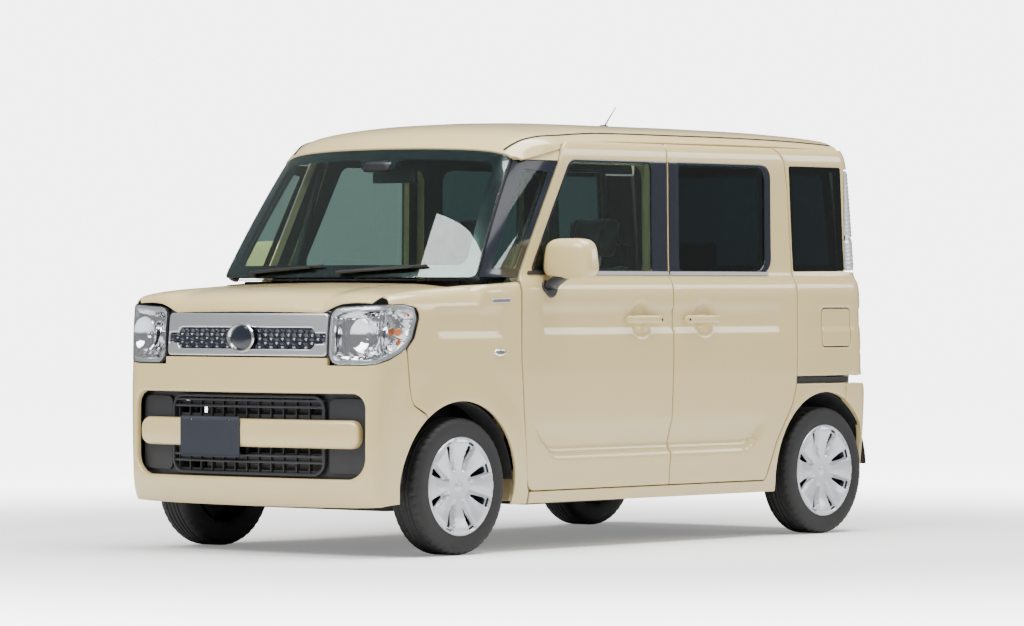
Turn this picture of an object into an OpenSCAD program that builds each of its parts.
// A small tall-body city car with sliding rear doors, standing on its wheels.
// Lengths are in millimetres. The car faces -Y, its left side is +X and the ground is z = 0.
// Stations are measured back from the front axle, heights up from the ground.

/* [Overall] */
// Overall length over the bumpers
body_length = 3395; // [2830:5:4080]
// Overall width of the body without mirrors
body_width = 1475; // [1230:5:1770]
// Height of the roof's crown above the ground
body_height = 1785; // [1490:5:2140]

/* [Axles and wheels] */
// Distance between the axles
wheelbase = 2460; // [2300:5:2560]
// Front axle to the front of the bumper
front_overhang = 547.5; // [500:0.5:600]
// Distance between the middles of the left and right tyres
track = 1295; // [1220:5:1310]
// Outer radius of the tyres
tyre_radius = 278.5; // [232:0.5:290]
// Width of the tyres
tyre_width = 155; // [130:1:175]
// Radius of the wheel rims
rim_radius = 178; // [150:1:190]
// Radius of the wheel arch openings
arch_radius = 345; // [330:1:400]
// Diameter of the stub that carries each wheel
hub_diameter = 56; // [46:1:68]

/* [Panels] */
// Thickness of the doors below their windows
door_thickness = 60; // [50:1:72]
// Thickness of the door frames beside the windows
frame_thickness = 42; // [35:1:50]
// Depth of the side structure behind the doors
ring_depth = 46; // [36:1:60]
// Thickness of the roof with its lining
roof_thickness = 36; // [28:1:45]
// Thickness of the hood with its inner frame
hood_thickness = 22; // [16:1:28]
// Thickness of the tailgate
tailgate_thickness = 50; // [40:1:60]
// Thickness of the bumper skins
bumper_thickness = 26; // [20:1:34]
// Thickness of sheet panels and plastic covers
sheet = 4; // [3:0.5:6]
// Thickness of the window glass
glass = 5; // [4:0.5:7]
// Gap at the shut lines
shut_gap = 6; // [5:0.5:8]

/* [Doors and windows] */
// Height of the waistline under the side windows
belt = 1145; // [1080:5:1180]
// Height of the lower edge of the doors
door_bottom = 248; // [235:1:280]
// Station where the front and rear doors meet
b_line = 1365; // [1250:5:1450]
// Height of the lower edge of the windscreen
screen_base = 1122; // [1110:1:1140]

/* [Cabin] */
// Height of the cabin floor
floor_height = 285; // [270:1:320]
// Diameter of the steering wheel
steering_wheel_diameter = 370; // [340:5:400]
// Width of each front seat
seat_width = 500; // [440:5:540]

/* [Hidden] */
half_w = body_width / 2;
nose = -front_overhang;
tail = body_length - front_overhang;
front_axle_y = front_overhang - body_length / 2;
roof_side = body_height - 90;
window_top = body_height - 177;
door_top = roof_side - 3;
sill_bottom = 190;
door_pocket = 6;
side = [1, 0, 0];
c_line = tail - 607.5;
hood_half = 655;
seam = 0.3;
round_fn = 64;

body_colour = [0.85, 0.79, 0.62];
dark_trim = [0.09, 0.09, 0.10];
glass_tint = [0.28, 0.36, 0.34, 0.6];
steel = [0.45, 0.46, 0.48];
seat_cloth = [0.16, 0.17, 0.19];

// ---------- small helpers ----------

function flat(lists) = [for (l = lists) each l];
function mix(a, b, t) = a + (b - a) * t;
function unit(v) = v / norm(v);

// Arc of n steps and radius r that replaces the corner b between a and c
function corner_arc(a, b, c, r, n = 5) =
  let (u = unit(a - b), v = unit(c - b), half = acos(u * v) / 2,
       centre = b + unit(u + v) * r / sin(half),
       p = b + u * r / tan(half) - centre, q = b + v * r / tan(half) - centre)
  [for (i = [0:n]) centre + r * unit(mix(p, q, i / n))];

// Outline from corners written [a, b, radius]; a radius of 0 keeps the corner sharp
function rounded(corners) =
  let (k = len(corners))
  flat([for (i = [0:k - 1])
    let (a = corners[(i + k - 1) % k], b = corners[i], c = corners[(i + 1) % k])
    b[2] > 0 ? corner_arc([a[0], a[1]], [b[0], b[1]], [c[0], c[1]], b[2]) : [[b[0], b[1]]]]);

// Extrudes a (station, height) outline across the car from x0 to x1
module across(outline, x0, x1)
  translate([x0, 0, 0]) rotate([90, 0, 90]) linear_extrude(x1 - x0) polygon(outline);

// Extrudes an (x, height) outline along the car from station s0 to s1
module along(outline, s0, s1)
  translate([0, s1, 0]) rotate([90, 0, 0]) linear_extrude(s1 - s0) polygon(outline);

module box(low, high) translate(low) cube(high - low);

// Joins its children into one faceted solid at their own size
module faceted() resize([0, 0, 0]) children();

module both_sides() {
  children();
  mirror(side) children();
}

// Closed skin between two grids of points; rows crossed with columns point out of the outer grid
module skin(outer, inner) {
  n = len(outer);
  m = len(outer[0]);
  k = n * m;
  function at(i, j) = i * m + j;
  function quad(a, b, c, d) = [[a, b, c], [a, c, d]];
  polyhedron(points = concat(flat(outer), flat(inner)), faces = flat(concat(
    [for (i = [0:n - 2], j = [0:m - 2]) quad(at(i, j), at(i, j + 1), at(i + 1, j + 1), at(i + 1, j))],
    [for (i = [0:n - 2], j = [0:m - 2])
      quad(k + at(i, j), k + at(i + 1, j), k + at(i + 1, j + 1), k + at(i, j + 1))],
    [for (i = [0:n - 2]) quad(at(i, 0), at(i + 1, 0), k + at(i + 1, 0), k + at(i, 0))],
    [for (i = [0:n - 2]) quad(at(i + 1, m - 1), at(i, m - 1), k + at(i, m - 1), k + at(i + 1, m - 1))],
    [for (j = [0:m - 2]) quad(at(0, j + 1), at(0, j), k + at(0, j), k + at(0, j + 1))],
    [for (j = [0:m - 2])
      quad(at(n - 1, j), at(n - 1, j + 1), k + at(n - 1, j + 1), k + at(n - 1, j))])));
}

// ---------- the body's outer surface ----------

// How far the side lies inside the half width at a height
side_insets = [[sill_bottom, 38], [300, 24], [370, 18], [600, 6], [800, 0], [belt - 95, 1],
  [belt - 45, 8], [belt - 15, 26], [belt + 5, 31], [(belt + window_top) / 2, 35],
  [window_top - 8, 36], [body_height - 130, 40], [roof_side, 61]];
side_heights = [for (p = side_insets) p[0]];
function side_inset(z) = lookup(z, side_insets);

// How much the plan narrows towards the two ends
front_taper_start = 550;
rear_taper_start = tail - 800;
function plan_taper(s) =
  s < front_taper_start ? 22 * pow((front_taper_start - s) / 1000, 2)
  : s > rear_taper_start ? 16 * pow((s - rear_taper_start) / 700, 2) : 0;
function side_x(s, z) = half_w - side_inset(z) - plan_taper(s);
function side_depth(z) = lookup(z, [[belt - 10, door_thickness], [belt + 30, frame_thickness]]);

side_stations = [-400, -200, 0, 200, 380, front_taper_start, b_line, rear_taper_start, tail - 650,
  tail - 500, tail - 350, tail - 200];

// Wall that follows the left side, from depth a to depth b below the surface; each depth is
// a share of the door's thickness plus a length
module side_wall(share_a, add_a, share_b, add_b)
  skin([for (s = side_stations) [for (z = side_heights)
         [side_x(s, z) - share_a * side_depth(z) - add_a, s, z]]],
       [for (s = side_stations) [for (z = side_heights)
         [side_x(s, z) - share_b * side_depth(z) - add_b, s, z]]]);

// Plan of the nose at a height: across the front and round both corners to the sides
front_insets = [[sill_bottom, 60], [240, 22], [290, 9], [450, 6], [660, 8], [760, 16], [880, 20],
  [985, 34], [1030, 50]];
front_bow = 52;
front_corner_s = nose + 215;
front_face_half = half_w - 118;
function front_face(x, z) =
  nose + lookup(z, front_insets) + front_bow * pow(x / front_face_half, 2);
function bezier(a, b, c, d, t) =
  pow(1 - t, 3) * a + 3 * pow(1 - t, 2) * t * b + 3 * (1 - t) * t * t * c + pow(t, 3) * d;
function front_corner(z, t) =
  let (a = [front_face_half, front_face(front_face_half, z)], d = [side_x(front_corner_s, z), front_corner_s],
       slope = 2 * front_bow / front_face_half, reach = 62)
  bezier(a, a + reach * [1, slope], d - [0, 110], d, t);
function front_half_plan(z, end) = concat(
  [for (x = [0, 0.3, 0.55, 0.8]) [x * front_face_half, front_face(x * front_face_half, z)]],
  [for (t = [0:0.2:1]) front_corner(z, t)],
  [[side_x(end, z), end]]);
function mirrored_path(half) = concat(
  [for (i = [len(half) - 1:-1:1]) [-half[i][0], half[i][1]]], half);
function front_plan(z, end) = mirrored_path(front_half_plan(z, end));

// Plan of the tail at a height: round both corners and across the back
rear_insets = [[sill_bottom, 40], [240, 16], [300, 4], [600, 0], [665, 8], [700, 14], [800, 18],
  [belt, 30], [window_top, 78], [roof_side, 95], [body_height - 20, 104]];
rear_radii = [[640, 92], [720, 118]];
rear_bow = 24;
function rear_face_half(z) = side_x(tail - 150, z) - lookup(z, rear_radii);
function rear_face(x, z) =
  tail - lookup(z, rear_insets) - rear_bow * pow(x / rear_face_half(z), 2);
function rear_corner(z, t) =
  let (r = lookup(z, rear_radii), a = [rear_face_half(z), rear_face(rear_face_half(z), z)],
       d = [side_x(a[1] - r, z), a[1] - r])
  bezier(a, a + [0.58 * r, -0.04 * r], d + [0, 0.5 * r], d, t);
function rear_half_plan(z, end) = concat(
  [for (x = [0, 0.3, 0.55, 0.8]) [x * rear_face_half(z), rear_face(x * rear_face_half(z), z)]],
  [for (t = [0:0.2:1]) rear_corner(z, t)],
  [[side_x(end, z), end]]);
function reversed(l) = [for (i = [len(l) - 1:-1:0]) l[i]];
function rear_plan(z, end) = reversed(mirrored_path(rear_half_plan(z, end)));

// Moves every point of a path inwards by a distance
function inward(path, depth) =
  [for (i = [0:len(path) - 1])
    let (a = path[max(i - 1, 0)], b = path[min(i + 1, len(path) - 1)], heading = unit(b - a))
    path[i] + depth * [-heading[1], heading[0]]];

module end_wall(heights, plans, depth_a, depth_b) {
  outer = [for (p = plans) inward(p, depth_a)];
  inner = [for (p = plans) inward(p, depth_b)];
  rows = len(outer[0]);
  skin([for (i = [0:rows - 1]) [for (k = [0:len(heights) - 1]) [outer[k][i][0], outer[k][i][1], heights[k]]]],
       [for (i = [0:rows - 1]) [for (k = [0:len(heights) - 1]) [inner[k][i][0], inner[k][i][1], heights[k]]]]);
}
module front_wall(heights, end, depth_a, depth_b)
  end_wall(heights, [for (z = heights) front_plan(z, end)], depth_a, depth_b);
module rear_wall(heights, end, depth_a, depth_b)
  end_wall(heights, [for (z = heights) rear_plan(z, end)], depth_a, depth_b);

// Windscreen: straight rulings between a bowed lower edge and a bowed upper edge
screen_bow = 75;
screen_base_half = half_w - 36.5;
screen_top_half = half_w - 115.5;
screen_base_s = 114;
screen_top_s = 422;
function screen_low(u) =
  [u * screen_base_half, screen_base_s - screen_bow * (1 - u * u), screen_base];
function screen_high(u) =
  [u * screen_top_half, screen_top_s - screen_bow * (1 - u * u), roof_z(u * screen_top_half, 0) - 3];
function screen_point(u, v) =
  mix(screen_low(u), screen_high(u), v) + [0, -30 * v * (1 - v), 24 * v * (1 - v)];

// Roof: height from the distance behind the windscreen's upper edge
roof_front_drops = [[0, 118], [40, 88], [100, 56], [200, 30], [350, 12], [600, 1], [800, 0]];
roof_side_drops = [[0, 0], [0.3, 3], [0.6, 13], [0.83, 32], [0.95, 60], [1, 90]];
roof_rear_drops = [[0, 22], [150, 14], [500, 4], [900, 0]];
function roof_edge_x(s) =
  half_w - 61 - (s < 650 ? 54 * pow((650 - s) / 228, 1.6) : 0) - plan_taper(max(s, front_taper_start));
function roof_z(x, d) =
  body_height - lookup(d, roof_front_drops)
  - lookup(d, [[0, 0.5], [300, 1]]) * lookup(abs(x) / (half_w - 61), roof_side_drops);
function roof_front_s(x) = screen_top_s - screen_bow * (1 - pow(x / screen_top_half, 2)) + shut_gap;

// ---------- outlines on the side, as [station, height, corner radius] ----------

function front_door_outline(g = 0) = rounded([
  [367 - g, 790, 0], [388 - g, 600, 0], [426 - g, 300, 0], [440 - g, door_bottom - g, 44],
  [b_line + g, door_bottom - g, 8], [b_line + g, door_top + g, 12],
  [697 - g, door_top + g, 70], [371 - g, 1112, 10]]);
function rear_door_outline(g = 0) = rounded([
  [b_line + shut_gap - g, door_bottom - g, 8], [c_line - 205 + g, door_bottom - g, 20],
  [c_line - 190 + g, 270, 0], [c_line - 130 + g, 420, 0], [c_line - 30 + g, 570, 60],
  [c_line + g, 660, 30], [c_line + g, belt + 5, 0], [c_line - 28 + g, window_top - 108, 0],
  [c_line - 62 + g, door_top + g, 90], [b_line + shut_gap - g, door_top + g, 12]]);
function front_window(g = 0) = rounded([
  [461 - g, belt + 5 - g, 12], [b_line - 105 + g, belt + 5 - g, 14],
  [b_line - 105 + g, window_top + g, 20], [722 - g, window_top + g, 46]]);
function rear_window(g = 0) = rounded([
  [b_line + 75 - g, belt + 5 - g, 20], [c_line - 192 + g, belt + 5 - g, 60],
  [c_line - 192 + g, window_top + g, 50], [b_line + 75 - g, window_top + g, 18]]);
function quarter_window(g = 0) = rounded([
  [c_line + 12 - g, belt + 9 - g, 12], [tail - 207 + g, belt + 12 - g, 12],
  [tail - 232 + g, window_top + 6 + g, 12], [c_line - 15 - g, window_top + 6 + g, 12]]);
fuel_low = 825;
fuel_high = 990;
fuel_hinge_s = tail - 410.5;
fuel_hinge_x = side_x(fuel_hinge_s, fuel_high) - 4.3;
function fuel_outline(g = 0) = rounded([
  [tail - 417 - g, fuel_low - g, 20], [tail - 202 + g, fuel_low - g, 20],
  [tail - 202 + g, fuel_high + g, 20], [tail - 417 - g, fuel_high + g, 20]]);

module arch(s, grow = 0)
  translate([-half_w - 200, s, tyre_radius]) rotate([0, 90, 0])
    cylinder(r = arch_radius + grow, h = body_width + 400, $fn = round_fn);
module arches() {
  arch(0);
  arch(wheelbase);
}

// ---------- fixed body ----------

rail_x = 365;
firewall_s = 145;
footwell_s = 330;
rear_step_s = wheelbase - 440;
rear_floor = 430;
floor_half = side_x(b_line, floor_height - 25) - door_thickness - door_pocket - ring_depth - seam;

module floor_pan() color(steel) difference() {
  union() {
    // Flat floor with the raised luggage floor behind it
    box([-floor_half, footwell_s, floor_height - 25], [floor_half, rear_step_s, floor_height]);
    box([-rail_x, firewall_s, floor_height - 25], [rail_x, footwell_s + 1, floor_height]);
    box([-floor_half, rear_step_s, floor_height - 25], [floor_half, rear_step_s + 20, rear_floor]);
    box([-floor_half, rear_step_s, rear_floor - 20], [floor_half, tail - 135, rear_floor]);
    // Firewall, footwell sides and the walls behind the front wheels
    box([-floor_half, firewall_s - 15, 650], [floor_half, firewall_s, screen_base - 14]);
    box([-rail_x, firewall_s - 15, floor_height - 25], [rail_x, firewall_s, 660]);
    both_sides() {
      box([rail_x, firewall_s - 15, floor_height - 25], [rail_x + 15, footwell_s + 1, 665]);
      box([rail_x, firewall_s - 15, 650], [floor_half, footwell_s + 15, 665]);
      box([rail_x, footwell_s, floor_height - 25], [floor_half, footwell_s + 15, 665]);
      // Side rails under the floor and ahead of the firewall
      box([rail_x - 50, nose + 105, 400], [rail_x, firewall_s, 480]);
      box([rail_x - 50, firewall_s - 40, 190], [rail_x, rear_step_s - 60 - seam, floor_height - 25]);
      box([rail_x - 50, firewall_s - 40, 190], [rail_x, firewall_s + 20, 480]);
      // Wheel houses over the rear wheels
      box([430, wheelbase - 380, rear_floor - 20], [floor_half, tail - 100, 650]);
      // Strut towers
      box([rail_x - 20, -95, 770], [600, 95, 790]);
      box([rail_x - 20, -95, 400], [rail_x, 95, 790]);
      box([rail_x - 20, 75, 700], [600, firewall_s - 10, 790]);
    }
    // Front cross members under and over the radiator
    box([-rail_x, nose + 100, 400], [rail_x, nose + 117 - seam, 470]);
    box([-440, nose + 118, 790], [440, nose + 150, 830]);
    both_sides() box([rail_x - 40, nose + 105, 400], [rail_x, nose + 140, 830]);
  }
  // Hollow of the rear wheel houses
  both_sides() translate([445, wheelbase, tyre_radius]) rotate([0, 90, 0])
    cylinder(r = arch_radius, h = half_w, $fn = round_fn);
  // Holes for the struts
  both_sides() translate([strut_x, 0, 700]) cylinder(d = 60, h = 200, $fn = round_fn);
}
strut_x = 515;

pillar_x = floor_half + seam;

// Side structure: the outer panels round the doors, and the ring that the doors close on
module body_side() color(body_colour) {
  difference() {
    union() {
      difference() {
        side_wall(0, 0, 1, door_pocket + ring_depth);
        across(front_door_outline(shut_gap), 0, half_w + 50);
        across(rear_door_outline(shut_gap), 0, half_w + 50);
        across([[-500, 0], [440, 0], [440, 235], [440, 700], [400, 1112],
                [700, door_top + 12], [700, body_height + 50], [-500, body_height + 50]], 0, half_w + 50);
      }
      intersection() {
        side_wall(1, door_pocket, 1, door_pocket + ring_depth);
        across([[470, sill_bottom], [tail - 300, sill_bottom], [tail - 300, roof_side],
                [760, roof_side], [672, 1620], [400, screen_base + 10], [400, 1050], [470, 1040]],
          0, half_w);
      }
      // Rear corner from the waist to the rail slot, and over the tail lamp
      intersection() {
        rear_wall([for (z = [700, 800, belt, window_top, roof_side]) z], tail - 260, 0, 60);
        union() {
          box([tailgate_half + shut_gap, tail - 280, 701], [half_w, tail + 10, belt + 8]);
          box([tailgate_half - 26, tail - 280, window_top - 2], [half_w, tail + 10, roof_side - 1]);
          box([tailgate_half + 10, tail - 280, 701], [side_x(tail - 200, belt) - 55, tail - 75, roof_side - 1]);
        }
      }
    }
    // Room for the front edge of the door to swing in
    box([622, 300, 1020], [half_w - 50, 486, 1192]);
    // Door apertures through the ring
    across(rounded([[540, 330, 60], [b_line - 62, 330, 60], [b_line - 62, window_top - 8, 60],
                    [770, window_top - 8, 60], [540, 1205, 60]]), 0, half_w + 50);
    across(rounded([[b_line + 62, 330, 60], [c_line - 185, 330, 40], [c_line - 60, 660, 60],
                    [c_line - 85, window_top - 8, 90], [b_line + 62, window_top - 8, 60]]), 0, half_w + 50);
    across(quarter_window(2), 0, half_w + 50);
    // Openings for the fuel lid, the rear wheel and the door's rail
    translate([half_w - 75, 0, 0]) across(fuel_outline(shut_gap), 0, 200);
    arch(wheelbase);
    rail_slot(3);
    // The roof lies over the rail
    box([0, 600, roof_side - 16], [half_w - 148, tail + 50, body_height]);
    box([0, 600, roof_side - 16], [half_w + 50, 737, body_height]);
    // The bumper covers the lower corner, the lamps take their own place
    box([0, wheelbase + 150, 0], [half_w + 50, tail + 50, rear_bumper_top + 2]);
    lamp_space(3);
  }
  // Hinge pillar, with the windscreen pillar on it
  box([pillar_x, 350, sill_bottom + 10], [half_w - 121, 412, 1060]);
  box([pillar_x, 400, sill_bottom + 10], [side_x(450, 1000) - 90, 500, 330]);
  box([pillar_x, 150, 1032], [half_w - 48, 355, 1080]);
  hull() {
    translate([half_w - 78, 150, 1050]) cube([30, 60, 30]);
    translate([screen_top_half - 56, screen_top_s + 26, window_top - 30]) cube([30, 40, 22]);
  }
  hull() {
    translate([half_w - 154, 385, 1030]) cube([28, 50, 30]);
    translate([half_w - 114, 655, window_top - 12]) cube([28, 50, 22]);
  }
  hull() {
    translate([screen_top_half - 56, screen_top_s + 26, window_top - 30]) cube([30, 40, 22]);
    translate([half_w - 114, 690, window_top + 2]) cube([28, 60, 22]);
  }
  // Pivot pins of the fuel lid
  for (z = [fuel_low - shut_gap - 2, fuel_high + seam])
    translate([fuel_hinge_x, fuel_hinge_s, z]) cylinder(r = 3, h = shut_gap + 2 - seam, $fn = 24);
}
module body_side_left() body_side();
module body_side_right() mirror(side) body_side();

rear_bumper_top = 662;
rail_z = 668;
module rail_slot(g)
  box([half_w - 70, c_line + shut_gap, rail_z - g], [half_w + 40, tail - 150, rail_z + 24 + g]);
module slide_rails() color(dark_trim) both_sides() intersection() {
  side_wall(0, 8, 0, 40);
  box([half_w - 90, c_line + 10, rail_z - 3 + seam], [half_w + 40, tail - 205, rail_z + 22]);
}

roof_rows = [0, 20, 60, 120, 200, 270];
roof_columns = [0, 0.3, 0.6, 0.83, 0.95, 1];
roof_stations = [900, b_line, 2000, tail - 500, tail - 300, tail - 220];
function roof_rear_s(x) = rear_face(x, body_height - 20) - tailgate_thickness - shut_gap;
function roof_column_x(u, s) = abs(u) <= 1 ? u * roof_edge_x(s) : sign(u) * (roof_edge_x(s) + (abs(u) - 1) * 100);
function roof_point(u, s, d) =
  let (x = roof_column_x(u, s), z = roof_z(min(abs(x), roof_edge_x(s)) * (half_w - 61) / roof_edge_x(s), d)
       - lookup(tail - 145 - s, roof_rear_drops))
  abs(u) <= 1 ? [x, s, z] : [x, s, mix(z, window_top + 4, (abs(u) - 1) / 0.25)];
function roof_signed_columns() = concat([-1.25, -1.12], [for (i = [5:-1:1]) -roof_columns[i]],
  roof_columns, [1.12, 1.25]);
function roof_start(u) = roof_front_s(min(abs(u), 1) * screen_top_half);
module roof_panel() color(body_colour) difference() {
  cols = roof_signed_columns();
  grid = [for (u = cols) concat(
    [for (d = roof_rows) let (s = mix(roof_start(u), 700, d / 270)) roof_point(u, s, s - roof_start(u))],
    [for (s = roof_stations) roof_point(u, s, s - roof_start(u))],
    [let (s = roof_rear_s(min(abs(u), 1) * (half_w - 78))) roof_point(u, s, s - roof_start(u))])];
  skin(grid, [for (i = [0:len(cols) - 1]) [for (p = grid[i])
    p - [abs(cols[i]) >= 1 ? sign(cols[i]) * 24 : 0, 0, abs(cols[i]) > 1 ? 0 : p[2] > roof_side - 30 ? roof_thickness : 12]]]);
  // The doors and the quarter panels take the place of the skirt behind the front pillars
  both_sides() {
    across(front_door_outline(shut_gap), half_w - 150, half_w + 50);
    box([half_w - 150, 735, 1500], [half_w + 50, tail, roof_side + seam]);
  }
}

// Front fenders of thin sheet; the rear edge is thin so that the door can swing in behind it
fender_heights = [sill_bottom, 300, 370, 600, 800, 960];
function shoulder_z(s) = lookup(s, [[-500, 1022], [-420, 1050], [-250, 1072], [100, 1092], [380, 1104]]);
function fender_section(s, d) = concat(
  [for (z = fender_heights) [side_x(s, z) - d, s, z]],
  [[side_x(s, 960) - 5 - d, s, shoulder_z(s) - 62 - d], [side_x(s, 960) - 22 - 0.8 * d, s, shoulder_z(s) - 26 - 0.8 * d],
   [side_x(s, 960) - 48 - 0.4 * d, s, shoulder_z(s) - 7 - d], [hood_half + shut_gap, s, shoulder_z(s) - d]]);
module front_fenders() color(body_colour) both_sides() difference() {
  stations = [-400, -300, -200, -100, 0, 120, 240, 361];
  union() {
    skin([for (s = stations) fender_section(s, 0)], [for (s = stations) fender_section(s, sheet)]);
    difference() {
      side_wall(0, 0, 0, sheet);
      box([0, -600, 0], [half_w + 50, 300, 2000]);
      box([0, 440 - seam, 0], [half_w + 50, tail + 500, 2000]);
      box([0, 0, 900], [half_w + 50, 600, 2000]);
    }
  }
  across(front_door_outline(shut_gap), 0, half_w + 50);
  arch(0);
  // The cowl side and the windscreen pillar come up beside the hood's hinge
  box([600, 145, 1040], [half_w - 36, 500, 1200]);
  across([[-700, 0], [-140, 0], [-140, 575], [-280, 612], [-298, 640], [-310, 700], [-325, 815],
          [-288, 880], [-260, 960], [-278, lamp_top + 4], [-700, lamp_top + 4]], 0, half_w + 50);
}

module cowl_panel() color(dark_trim) {
  steps = 12;
  rim = [for (i = [0:steps]) let (u = -1 + 2 * i / steps) [0.93 * u * screen_base_half,
         screen_base_s - screen_bow * (1 - u * u) + 8]];
  translate([0, 0, screen_base - 10]) linear_extrude(5)
    polygon(concat(rim, [[0.93 * screen_base_half, firewall_s + 30], [-0.93 * screen_base_half, firewall_s + 30]]));
}

module windscreen() color(glass_tint) {
  us = [for (i = [-6:6]) i / 6];
  vs = [0, 0.25, 0.5, 0.75, 1];
  skin([for (u = us) [for (v = vs) screen_point(u, v)]],
       [for (u = us) [for (v = vs) screen_point(u, v) + glass * [0, 0.85, -0.53]]]);
}

// Small fixed window between the windscreen pillar and the front door
function strip_front(z) =
  let (v = (z - screen_base) / (screen_high(1)[2] - screen_base), p = screen_point(1, v)) [p[0] + 2, p[1] + 12, z];
function door_front_s(z) = mix(371, 645, (z - 1112) / 488);
function strip_rear(z) = let (s = door_front_s(z) - shut_gap - 3) [side_x(s, z) - 1, s, z];
function strip_point(z, t) = mix(strip_front(z), strip_rear(z), t) + [34 * t * (1 - t), 0, 0];
module quarter_glass() color(glass_tint) both_sides() {
  zs = [screen_base + 3, 1230, 1350, 1480, window_top - 1];
  ts = [0, 0.25, 0.5, 0.75, 1];
  skin([for (t = ts) [for (z = zs) strip_point(z, t)]],
       [for (t = ts) [for (z = zs) strip_point(z, t) - [glass, 0, 0]]]);
  intersection() {
    side_wall(0, 0.5, 0, 0.5 + glass);
    across(quarter_window(), 0, half_w + 50);
  }
}

module wheel_liners() color(dark_trim) {
  for (s = [0, wheelbase]) both_sides() intersection() {
    translate([0, s, tyre_radius]) rotate([0, 90, 0]) difference() {
      translate([0, 0, s == 0 ? floor_half + 1 : 470]) cylinder(r = arch_radius - 3 * seam, h = s == 0 ? half_w - 38 - floor_half : 225, $fn = round_fn);
      cylinder(r = arch_radius - 3 * seam - sheet, h = half_w + 10, $fn = round_fn);
    }
    box([0, s - 500, tyre_radius + 20], [half_w, s + 500, 2000]);
  }
}

bumper_heights = [205, 240, 290, 450, 660, 760, 803];
opening_half = front_face_half + 14;
bar_half = 601;
module front_bumper() color(body_colour) faceted() {
  difference() {
    front_wall(bumper_heights, -150, 0, bumper_thickness);
    along(rounded([[-opening_half, 315, 60], [opening_half, 315, 60], [opening_half, 657, 60],
                   [-opening_half, 657, 60]]), nose - 50, nose + 250);
    arch(0);
    both_sides() {
      across([[-331, 2000], [-331, 815], [-316, 700], [-304, 640], [-286, 607], [-205, 569],
              [400, 569], [400, 2000]], 0, half_w + 50);
      along(rounded([[lamp_inner - 4, 771, 30], [half_w + 50, 771, 0], [half_w + 50, 900, 0],
                     [lamp_inner - 4, 900, 0]]), nose - 50, nose + 400);
    }
  }
  // Bar across the opening, carried by the grille behind it
  difference() {
    intersection() {
      front_wall([430, 450, 560], -150, -1.5, 46);
      along(rounded([[-bar_half, 437, 45], [bar_half, 437, 45], [bar_half, 552, 45], [-bar_half, 552, 45]]),
        nose - 50, nose + 250);
    }
    plate_holes(5, 34);
  }
}

lamp_inner = 450;
lamp_top = 1010;
grille_half = 440;
module grille() color([0.75, 0.76, 0.78]) {
  difference() {
    intersection() {
      front_wall([800, 880, 990], -150, 2, 26);
      along(rounded([[-grille_half, 805, 20], [grille_half, 805, 20], [grille_half, 980, 20],
                     [-grille_half, 980, 20]]), nose - 50, nose + 200);
    }
    along(rounded([[-375, 835, 25], [375, 835, 25], [375, 920, 25], [-375, 920, 25]]), nose - 50, nose + 24);
  }
  translate([0, nose + 38, 880]) rotate([90, 0, 0]) cylinder(r = 60, h = 30, $fn = round_fn);
}

module lower_grille() color(dark_trim) faceted() difference() {
  intersection() {
    front_wall([290, 450, 690], -150, 46.3, 66);
    along([[-opening_half - 30, 292], [opening_half + 30, 292], [opening_half + 30, 680],
           [-opening_half - 30, 680]], nose - 50, nose + 200);
  }
  for (z = [345, 415, 570, 620]) along([[-400, z], [400, z], [400, z + 28], [-400, z + 28]], nose, nose + 200);
}

plate_x = -158;
// Blank plate with the two fixing holes of a real one, 210 mm apart
plate_hole_spacing = 210; // [100:10:260]
module plate_holes(r, depth) for (x = [-0.5, 0.5])
  translate([plate_x + x * plate_hole_spacing, nose - 10, 545]) rotate([-90, 0, 0]) cylinder(r = r, h = depth + 10, $fn = 32);
module front_plate() color(dark_trim) difference() {
  box([plate_x - 165, nose + seam, 395], [plate_x + 165, nose + 4, 560]);
  plate_holes(3.5, 20);
}

module headlamps() color([0.85, 0.88, 0.9]) both_sides() faceted() intersection() {
  front_wall([770, 800, 880, 985, 1022], -150, 0, 80);
  along(rounded([[lamp_inner, 775, 50], [half_w + 40, 775, 0], [half_w + 40, lamp_top, 0], [lamp_inner, lamp_top - 16, 45]]),
    nose - 50, nose + 400);
  across([[-600, 770], [-500, 783], [-400, 800], [-336, 838], [-296, 878], [-268, 960], [-284, 1005],
          [-300, 1022], [-600, 1022]], 0, half_w + 50);
}

tailgate_half = 600;
lamp_bottom = belt + 14;
lamp_start = tail - 200;
module lamp_space(g)
  box([tailgate_half - 22 - g, lamp_start - g, lamp_bottom - g], [half_w + 50, tail + 50, window_top - 6 + g]);
module tail_lamps() color([0.8, 0.82, 0.84]) both_sides() intersection() {
  rear_wall([belt, window_top, roof_side], tail - 260, 0, 56);
  lamp_space(0);
}

tailgate_bottom = 525;
function tailgate_half_outline(g) = concat([
  [tailgate_half - 40 + g, tailgate_bottom - g, 40], [tailgate_half + g, 700, 40],
  [tailgate_half + g, belt - 25, 15], [tailgate_half - 28 + g, belt + 5, 15],
  [tailgate_half - 40 + g, window_top, 60]],
  [for (x = [tailgate_half - 70, 400, 200]) [x + g, roof_z(x, 2000) - 24 + g, 0]]);
function tailgate_outline(g = 0) =
  let (half = tailgate_half_outline(g))
  rounded(concat(half, [for (i = [len(half) - 1:-1:0]) [-half[i][0], half[i][1], half[i][2]]]));
rear_glass = rounded([[-530, belt + 15, 40], [530, belt + 15, 40], [512, window_top, 45], [-512, window_top, 45]]);
module tailgate() color(body_colour) faceted() difference() {
  intersection() {
    rear_wall([500, 600, 665, 700, 800, belt, window_top, roof_side, body_height - 20], tail - 260, 0, tailgate_thickness);
    along(tailgate_outline(), tail - 250, tail + 10);
  }
  along(rear_glass, tail - 300, tail + 10);
}
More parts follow.
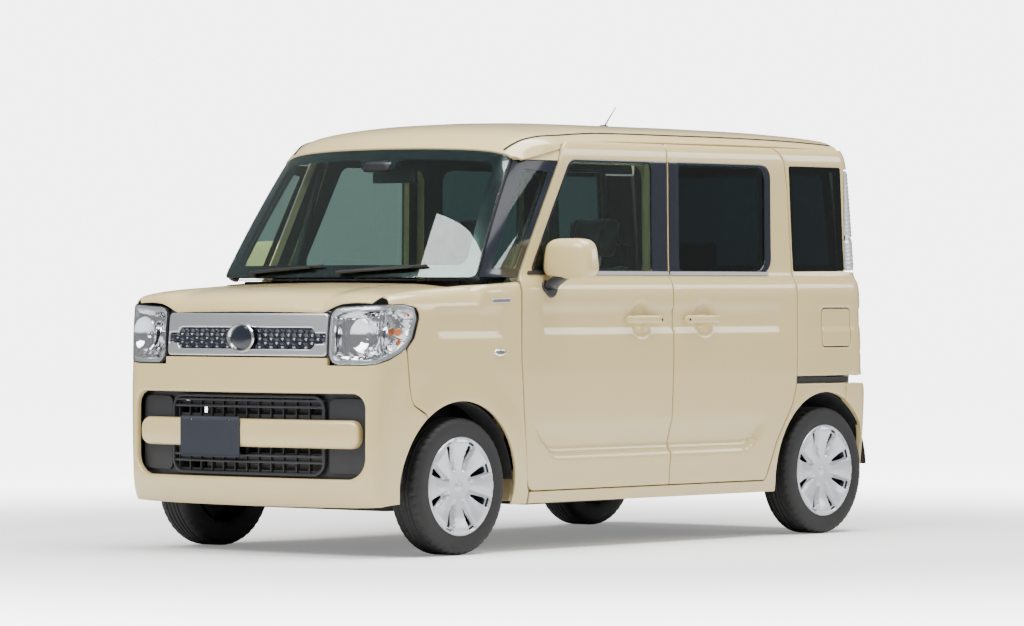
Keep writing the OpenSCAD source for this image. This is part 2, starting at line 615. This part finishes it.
module tailgate_glass() color(glass_tint) intersection() {
  rear_wall([belt, window_top, roof_side], tail - 260, 1, 1 + glass);
  along(rear_glass, tail - 300, tail + 10);
}

module rear_bumper() color(body_colour) faceted() difference() {
  rear_wall([205, 240, 300, 600, rear_bumper_top - 1], wheelbase + 155, 0, bumper_thickness + 34);
  along(tailgate_outline(shut_gap), tail - 250, tail + 50);
  arch(wheelbase);
}

// Sliding rear doors, shut
module sliding_door() color(body_colour) difference() {
  intersection() {
    side_wall(0, 0, 1, 0);
    across(rear_door_outline(), 0, half_w + 50);
  }
  across(rear_window(), 0, half_w + 50);
}
module sliding_door_left() sliding_door();
module sliding_door_right() mirror(side) sliding_door();
module sliding_door_glass() color(glass_tint) both_sides() intersection() {
  side_wall(0, 4, 0, 4 + glass);
  across(rear_window(), 0, half_w + 50);
}

// ---------- cabin ----------

module dashboard() color(dark_trim) {
  across(rounded([[firewall_s + 32, 1080, 15], [firewall_s + 32, 860, 30], [520, 700, 40], [560, 900, 60],
                  [470, 1085, 40]]), -560, 560);
  box([-560, firewall_s + seam, 880], [560, firewall_s + 33, 960]);
  at_steering() rotate([90, 0, 0]) translate([0, 0, column_start]) cylinder(r = 32, h = 90, $fn = round_fn);
  // Centre stack down to the floor
  box([-110, firewall_s + 200, floor_height], [110, 480, 760]);
}

seat_s = 640;
seat_x = 330;
module seat() {
  base = floor_height + 280;
  across(rounded([[seat_s, base, 30], [seat_s + 490, base - 20, 30], [seat_s + 500, base + 110, 50],
                  [seat_s, base + 130, 50]]), -seat_width / 2, seat_width / 2);
  across(rounded([[seat_s + 440, base + 70, 30], [seat_s + 560, base + 70, 40], [seat_s + 720, 1180, 50],
                  [seat_s + 610, 1200, 50]]), -seat_width / 2 + 15, seat_width / 2 - 15);
  across(rounded([[seat_s + 625, 1185, 20], [seat_s + 705, 1185, 20], [seat_s + 745, 1390, 40],
                  [seat_s + 665, 1400, 40]]), -135, 135);
  for (x = [-170, 170])
    box([x - 25, seat_s + 30, floor_height], [x + 25, seat_s + 470, base + 20]);
}
module front_seats() color(seat_cloth) for (x = [-seat_x, seat_x]) translate([x, 0, 0]) seat();

rear_seat_s = 1590;
module rear_seat() color(seat_cloth) {
  base = rear_floor + 90;
  across(rounded([[rear_seat_s, base, 30], [rear_seat_s + 430, base, 30], [rear_seat_s + 430, base + 110, 30],
                  [rear_seat_s, base + 120, 50]]), -590, 590);
  across([[rear_seat_s + 352, base + 40], [rear_seat_s + 422, base + 40], [rear_seat_s + 440, base + 160],
          [rear_seat_s + 580, 1150], [rear_seat_s + 480, 1155], [rear_seat_s + 345, base + 140]], -405, 405);
  for (x = [-250, 250]) box([x - 130, rear_seat_s + 505, 1090], [x + 130, rear_seat_s + 560, 1290]);
  box([-540, rear_seat_s + 60, floor_height + seam], [540, rear_seat_s + 380, base + 40]);
}

module inner_mirror() color(dark_trim) {
  translate([0, screen_top_s - 5, body_height - 235]) cube([230, 22, 62], center = true);
  translate([0, screen_top_s - 10, body_height - 205]) cylinder(d = 22, h = 65, $fn = 24);
  translate([0, screen_top_s - 28, body_height - 160]) cube([120, 42, 24], center = true);
}

column_angle = 24;
column_start = 42;
wheel_centre = [-330, 600, 985];
module at_steering() translate(wheel_centre) rotate([column_angle, 0, 0]) children();

module steering_wheel() color(dark_trim) at_steering() {
  rotate([90, 0, 0]) {
    rotate_extrude($fn = round_fn) translate([steering_wheel_diameter / 2 - 14, 0]) circle(14, $fn = 20);
    translate([0, 0, -16]) cylinder(r = 74, h = 36, $fn = round_fn);
    for (a = [0, 180, 270]) rotate([0, 0, a]) translate([60, -16, -9]) cube([steering_wheel_diameter / 2 - 78, 32, 18]);
    translate([0, 0, 16]) cylinder(r = 20, h = column_start - 16 - seam, $fn = round_fn);
  }
}

// ---------- small outside pieces ----------

// Two wiper arms lying along the foot of the windscreen
function wiper_point(x0, i) =
  screen_point((x0 + 160 * i) / screen_base_half, 0.08 + 0.015 * i) + 6.4 * [0, -0.85, 0.53];
module wipers() color(dark_trim)
  for (x0 = [-560, 60], i = [0:2])
    hull() for (k = [i, i + 1]) translate(wiper_point(x0, k)) cube(8, center = true);

aerial_s = 1800;
module aerial() color(dark_trim) translate([0, aerial_s, body_height + seam]) {
  cylinder(r1 = 22, r2 = 10, h = 18, $fn = 32);
  translate([0, 0, 6]) rotate([-45, 0, 0]) cylinder(d = 7, h = 126, $fn = 16);
}

// ---------- under the body ----------

engine_left = 300;
engine_right = 210;
shaft_end = 485;
module engine_block() color(steel)
  box([-engine_right, nose + 200, 260], [engine_left, firewall_s - 60, 760]);
module radiator() color(dark_trim) box([-280, nose + 117, 300], [280, nose + 160, 700]);

ball_x = 575;
arm_z = 190;
ball_z = arm_z + 19;
module front_suspension() color(dark_trim) {
  box([-rail_x, -60, 170], [rail_x, 90, 235]);
  both_sides() {
    hull() {
      translate([rail_x - 15, -60, arm_z - 12]) cube([30, 150, 26]);
      translate([ball_x, 0, arm_z - 12]) cylinder(r = 22, h = 26, $fn = 32);
    }
    translate([ball_x, 0, arm_z]) cylinder(r = 5, h = ball_z - arm_z, $fn = 32);
    translate([ball_x, 0, ball_z]) sphere(10, $fn = 32);
    box([rail_x - 50, -60, 200], [rail_x, 90, 400 - seam]);
  }
  // Drive shafts from the gearbox to the hubs
  for (ends = [[engine_left + seam, shaft_end], [-shaft_end, -engine_right - seam]])
    translate([ends[0], 0, tyre_radius]) rotate([0, 90, 0]) cylinder(r = 14, h = ends[1] - ends[0], $fn = 32);
}

module rear_axle() color(dark_trim) {
  translate([-500, wheelbase, 245]) rotate([0, 90, 0]) cylinder(r = 32, h = 1000, $fn = 32);
  both_sides() {
    box([440, rear_step_s - 60, 190], [490, wheelbase + 30, 240]);
    box([rail_x - 20, rear_step_s - 60, 200], [450, rear_step_s, 236]);
    translate([480, wheelbase, tyre_radius]) rotate([0, 90, 0])
      cylinder(r = 60, h = track / 2 - 480 - hub_offset, $fn = round_fn);
    translate([480, wheelbase, tyre_radius]) rotate([0, 90, 0])
      cylinder(d = hub_diameter, h = track / 2 - 480 + 20, $fn = round_fn);
    // Spring and damper up to the rear floor
    translate([400, wheelbase - 30, 262]) cylinder(r = 45, h = rear_floor - 20 - 262 - seam, $fn = 32);
  }
}
module fuel_tank() color(dark_trim) box([-210, 900, 165], [310, 1500, floor_height - 25]);
module exhaust() color(steel) {
  translate([-240, 200, floor_height - 25 - 22 - seam]) rotate([-90, 0, 0])
    cylinder(r = 22, h = wheelbase - 300, $fn = 32);
  box([-280, wheelbase + 60, 225], [280, wheelbase + 250, rear_floor - 20 - seam]);
  translate([-200, wheelbase + 225, 186]) cylinder(r = 17, h = 60, $fn = 32);
  translate([-200, wheelbase + 225, 186]) rotate([-90, 0, 0]) cylinder(r = 17, h = tail - wheelbase - 255, $fn = 32);
}

// ---------- moving pieces ----------

hood_side_drops = [[0, 0], [0.45, 3], [0.7, 9], [0.88, 18], [1, 30]];
hood_front_drops = [[0, 116], [10, 88], [36, 62], [100, 38], [220, 20], [400, 7], [560, 0]];
hood_crown = screen_base - 18;
function hood_front_s(x) = front_face(x, 985) + 6;
function hood_rear_s(x) = screen_base_s - screen_bow * (1 - pow(x / screen_base_half, 2)) - 12;
function hood_z(x, d) = hood_crown - lookup(abs(x) / hood_half, hood_side_drops)
  - lookup(abs(x), [[420, 1], [505, 0.6], [hood_half, 0.45]]) * lookup(d, hood_front_drops);
module hood() color(body_colour) {
  xs = [for (f = [-1, -0.88, -0.7, -0.45, -0.2, 0, 0.2, 0.45, 0.7, 0.88, 1]) f * hood_half];
  ds = [0, 10, 36, 100, 220, 400];
  grid = [for (x = xs) let (a = hood_front_s(x), b = hood_rear_s(x)) concat(
    [for (d = ds) [x, a + d, hood_z(x, d)]], [[x, b, hood_z(x, b - a)]])];
  intersection() {
    skin(grid, [for (c = grid) [for (i = [0:len(c) - 1])
      c[i] - [0, 0, i < 3 ? sheet : hood_thickness]]]);
    // Rounded corners over the headlamps
    linear_extrude(1300) polygon(rounded([[-hood_half, nose + 60, 80], [hood_half, nose + 60, 80],
      [hood_half, 300, 0], [-hood_half, 300, 0]]));
  }
}

module front_door() color(body_colour) difference() {
  intersection() {
    side_wall(0, 0, 1, 0);
    across(front_door_outline(), 0, half_w + 50);
  }
  across(front_window(), 0, half_w + 50);
}
module front_door_left() front_door();
module front_door_right() mirror(side) front_door();
module front_door_glass() color(glass_tint) intersection() {
  side_wall(0, 6, 0, 6 + glass);
  across(front_window(), 0, half_w + 50);
}
module front_door_glass_left() front_door_glass();
module front_door_glass_right() mirror(side) front_door_glass();

mirror_s = 557;
module door_mirror() color(body_colour) difference() {
  mirror_solid();
  // Its foot follows the door's skin
  side_wall(0, -seam, 1, 0);
}
module mirror_solid() {
  hull() for (x = [-78, 78], z = [-50, 50], y = [-22, 22])
    translate([half_w + 102 + x, mirror_s + y, 1202 + z]) sphere(30, $fn = 16);
  hull() {
    translate([half_w + 8, mirror_s - 40, 1075]) cube([1, 110, 36]);
    translate([half_w + 60, mirror_s - 20, 1128]) cube([50, 60, 4]);
  }
  translate([half_w - 1, mirror_s - 90, 1022]) cube([10, 165, 90]);
}
module door_mirror_left() door_mirror();
module door_mirror_right() mirror(side) door_mirror();

module fuel_lid() color(body_colour) intersection() {
  side_wall(0, 0, 0, 12);
  across(fuel_outline(), 0, half_w + 50);
}

hub_offset = 30;
module knuckle() color(steel) difference() {
  union() {
    translate([track / 2 - 130, 0, tyre_radius]) rotate([0, 90, 0])
      cylinder(r = 62, h = 130 - hub_offset, $fn = round_fn);
    translate([track / 2 - 130, 0, tyre_radius]) rotate([0, 90, 0])
      cylinder(d = hub_diameter, h = 150, $fn = round_fn);
    // Ball joint socket over the lower arm, and the strut
    translate([ball_x, 0, ball_z]) cylinder(r = 18, h = 76, $fn = 32);
    box([strut_x - 20, -25, 300], [strut_x + 25, 25, 400]);
    translate([strut_x, 0, 300]) cylinder(r = 22, h = 482, $fn = 32);
    translate([strut_x, 0, 585]) cylinder(r = 55, h = 178, $fn = round_fn);
  }
  translate([ball_x, 0, ball_z]) sphere(10.25, $fn = 32);
}
module knuckle_left() knuckle();
module knuckle_right() mirror(side) knuckle();

// Tyre turned from its section; flat tread, rounded shoulders and bulging walls
module tyre() color([0.06, 0.06, 0.065]) rotate([0, 90, 0]) rotate_extrude($fn = 72)
  polygon(rounded([[rim_radius + seam, -tyre_width / 2 + 14, 6], [tyre_radius - 42, -tyre_width / 2, 30],
    [tyre_radius, -tyre_width / 2 + 14, 16], [tyre_radius, tyre_width / 2 - 14, 16],
    [tyre_radius - 42, tyre_width / 2, 30], [rim_radius + seam, tyre_width / 2 - 14, 6]]));

cover_radius = 198;
spokes = 8;
// Rim with a bored centre plate and the pressed cover in front of it; outward is +X
module wheel() color([0.72, 0.74, 0.76]) difference() {
  union() {
    rotate([0, 90, 0]) rotate_extrude($fn = 72) polygon([
      [rim_radius - 8, -tyre_width / 2 + 16], [rim_radius, -tyre_width / 2 + 16], [rim_radius, tyre_width / 2 - 20],
      [rim_radius - 8, tyre_width / 2 - 20]]);
    rotate([0, 90, 0]) translate([0, 0, 8]) cylinder(r = rim_radius - 4, h = 12, $fn = 72);
    rotate([0, 90, 0]) translate([0, 0, -hub_offset + seam]) cylinder(r = 70, h = hub_offset + 12, $fn = round_fn);
    difference() {
      rotate([0, 90, 0]) rotate_extrude($fn = 72) polygon([[0, 50], [rim_radius - 8, 50],
        [rim_radius - 8, tyre_width / 2 - 22], [rim_radius, tyre_width / 2 - 22], [rim_radius, tyre_width / 2 - 12],
        [cover_radius, tyre_width / 2 - 7.5], [cover_radius, tyre_width / 2 - 4],
        [rim_radius, tyre_width / 2 + 1], [120, 64], [0, 56]]);
      for (k = [0:spokes - 1]) rotate([(k + 0.5) * 360 / spokes, 0, 0]) translate([40, -22, 92]) cube([60, 44, 66]);
    }
    rotate([0, 90, 0]) translate([0, 0, 15]) cylinder(r = 36, h = 37, $fn = round_fn);
  }
  rotate([0, 90, 0]) translate([0, 0, -hub_offset - 10]) cylinder(d = hub_diameter + 0.1, h = hub_offset + 32, $fn = round_fn);
}

module at_wheel(s, left) translate([left ? track / 2 : -track / 2, s, tyre_radius]) mirror([left ? 0 : 1, 0, 0]) children();
module tyre_front_left() at_wheel(0, true) tyre();
module wheel_front_left() at_wheel(0, true) wheel();
module tyre_front_right() at_wheel(0, false) tyre();
module wheel_front_right() at_wheel(0, false) wheel();
module tyre_rear_left() at_wheel(wheelbase, true) tyre();
module wheel_rear_left() at_wheel(wheelbase, true) wheel();
module tyre_rear_right() at_wheel(wheelbase, false) tyre();
module wheel_rear_right() at_wheel(wheelbase, false) wheel();

// ---------- the car, with its origin under the middle of its length ----------

module placed() translate([0, front_axle_y, 0]) children();

placed() floor_pan();
placed() body_side_left();
placed() body_side_right();
placed() roof_panel();
placed() front_fenders();
placed() cowl_panel();
placed() windscreen();
placed() quarter_glass();
placed() wheel_liners();
placed() front_bumper();
placed() grille();
placed() lower_grille();
placed() front_plate();
placed() headlamps();
placed() tail_lamps();
placed() rear_bumper();
placed() sliding_door_left();
placed() sliding_door_right();
placed() sliding_door_glass();
placed() slide_rails();
placed() dashboard();
placed() front_seats();
placed() rear_seat();
placed() inner_mirror();
placed() wipers();
placed() aerial();
placed() engine_block();
placed() radiator();
placed() front_suspension();
placed() rear_axle();
placed() fuel_tank();
placed() exhaust();
placed() hood();
placed() front_door_left();
placed() front_door_glass_left();
placed() door_mirror_left();
placed() front_door_right();
placed() front_door_glass_right();
placed() door_mirror_right();
placed() tailgate();
placed() tailgate_glass();
placed() fuel_lid();
placed() steering_wheel();
placed() knuckle_left();
placed() knuckle_right();
placed() tyre_front_left();
placed() wheel_front_left();
placed() tyre_front_right();
placed() wheel_front_right();
placed() tyre_rear_left();
placed() wheel_rear_left();
placed() tyre_rear_right();
placed() wheel_rear_right();
